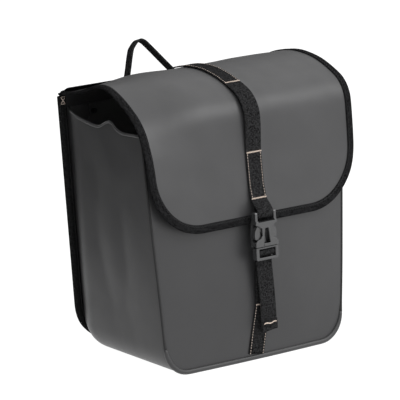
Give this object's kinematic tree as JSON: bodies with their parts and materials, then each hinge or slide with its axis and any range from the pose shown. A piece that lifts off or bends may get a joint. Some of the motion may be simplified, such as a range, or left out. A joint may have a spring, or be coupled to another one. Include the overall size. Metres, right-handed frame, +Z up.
{
  "type": "pannier bag",
  "caption": "Soft box-shaped bicycle pannier with a large bound fold-over flap, a centre strap with a side-release buckle, a webbing handle, and rack hooks on a stiff back.",
  "frame": {"origin": "on the ground under the centre of the bounding box, with the bag standing on its bottom", "axes": "+Z up, the flap and buckle face -Y, the rack hooks are on the +Y side, X runs across the bag"},
  "size_m": [0.3382, 0.2579, 0.3805],
  "materials": {
    "tarpaulin": "satin coated fabric",
    "binding_tape": "ribbed woven tape",
    "webbing": "woven webbing with pale stitching",
    "buckle_plastic": "glossy moulded plastic",
    "board_plastic": "matt sheet plastic",
    "hook_plastic": "fine textured moulded plastic",
    "rail_aluminium": "satin anodised",
    "steel": "zinc plated"
  },
  "bodies": {
    "bag": {"back_panel": "tarpaulin", "back_board": "board_plastic", "back_binding": "binding_tape", "side_panel_left": "tarpaulin", "side_panel_right": "tarpaulin", "bottom_panel": "tarpaulin", "bottom_board": "board_plastic", "front_panel": "tarpaulin", "front_seam_welt": "tarpaulin", "top_hem": "binding_tape", "strap_anchor": "webbing", "strap_lower_free": "webbing", "hook_rail": "rail_aluminium", "rail_cap_left": "hook_plastic", "rail_cap_right": "hook_plastic", "rail_screws": "steel", "rail_backing_plate": "rail_aluminium", "rail_nuts": "steel", "hook_left": "hook_plastic", "hook_right": "hook_plastic", "latch_pins": "steel", "latch_springs": "steel", "handle_keeper_left": "hook_plastic", "handle_keeper_right": "hook_plastic", "lower_rail": "hook_plastic", "lower_rail_screws": "steel", "lower_rail_washers": "steel", "lower_hook_bolt": "steel", "lower_hook_nut": "steel"},
    "flap_top": {"flap_top": "tarpaulin", "flap_binding_top": "binding_tape", "strap_flap_top": "webbing"},
    "flap_front": {"flap_front": "tarpaulin", "flap_binding_front": "binding_tape", "strap_flap_front": "webbing", "buckle_female": "buckle_plastic"},
    "buckle_male": {"buckle_male": "buckle_plastic", "strap_bar_wrap": "webbing"},
    "prong_left": {"prong_left": "buckle_plastic"},
    "prong_right": {"prong_right": "buckle_plastic"},
    "tail": {"strap_tail": "webbing"},
    "handle": {"handle_strap": "webbing"},
    "latch_left": {"latch_left": "hook_plastic"},
    "latch_right": {"latch_right": "hook_plastic"},
    "lower_hook": {"lower_hook": "hook_plastic"}
  },
  "joints": [
    {"name": "flap_lift", "type": "hinge", "parent": "bag", "child": "flap_top", "pos_m": [0, 0.08067, 0.33628], "axis": [-1, 0, 0], "range_deg": [0, 95]},
    {"name": "flap_fold", "type": "hinge", "parent": "flap_top", "child": "flap_front", "pos_m": [0, -0.07453, 0.34286], "axis": [-1, 0, 0], "range_deg": [0, 75]},
    {"name": "buckle_unclip", "type": "slide", "parent": "bag", "child": "buckle_male", "axis": [0, -0.0872, -0.9962], "range_m": [0, 0.03], "deforming": ["strap_lower_free", "prong_left", "prong_right"]},
    {"name": "prong_left_squeeze", "type": "hinge", "parent": "buckle_male", "child": "prong_left", "pos_m": [-0.0106, -0.12465, 0.15095], "axis": [0, 0.9962, -0.0872], "range_deg": [0, 8], "stiffness_Nm_per_rad": 0.05},
    {"name": "prong_right_squeeze", "type": "hinge", "parent": "buckle_male", "child": "prong_right", "pos_m": [0.0106, -0.12465, 0.15095], "axis": [0, -0.9962, 0.0872], "range_deg": [0, 8], "stiffness_Nm_per_rad": 0.05},
    {"name": "tail_swing", "type": "hinge", "parent": "buckle_male", "child": "tail", "pos_m": [0, -0.12335, 0.133], "axis": [-1, 0, 0], "range_deg": [0, 60]},
    {"name": "handle_swing", "type": "hinge", "parent": "bag", "child": "handle", "pos_m": [0, 0.09775, 0.3186], "axis": [-1, 0, 0], "range_deg": [-12, 55]},
    {"name": "latch_left_open", "type": "hinge", "parent": "bag", "child": "latch_left", "pos_m": [-0.085, 0.08975, 0.2881], "axis": [-1, 0, 0], "range_deg": [0, 68], "stiffness_Nm_per_rad": 0.02},
    {"name": "latch_right_open", "type": "hinge", "parent": "bag", "child": "latch_right", "pos_m": [0.085, 0.08975, 0.2881], "axis": [-1, 0, 0], "range_deg": [0, 68], "stiffness_Nm_per_rad": 0.02},
    {"name": "lower_hook_swivel", "type": "hinge", "parent": "bag", "child": "lower_hook", "pos_m": [0, 0.08975, 0.0866], "axis": [0, 1, 0], "range_deg": [-75, 75]}
  ]
}
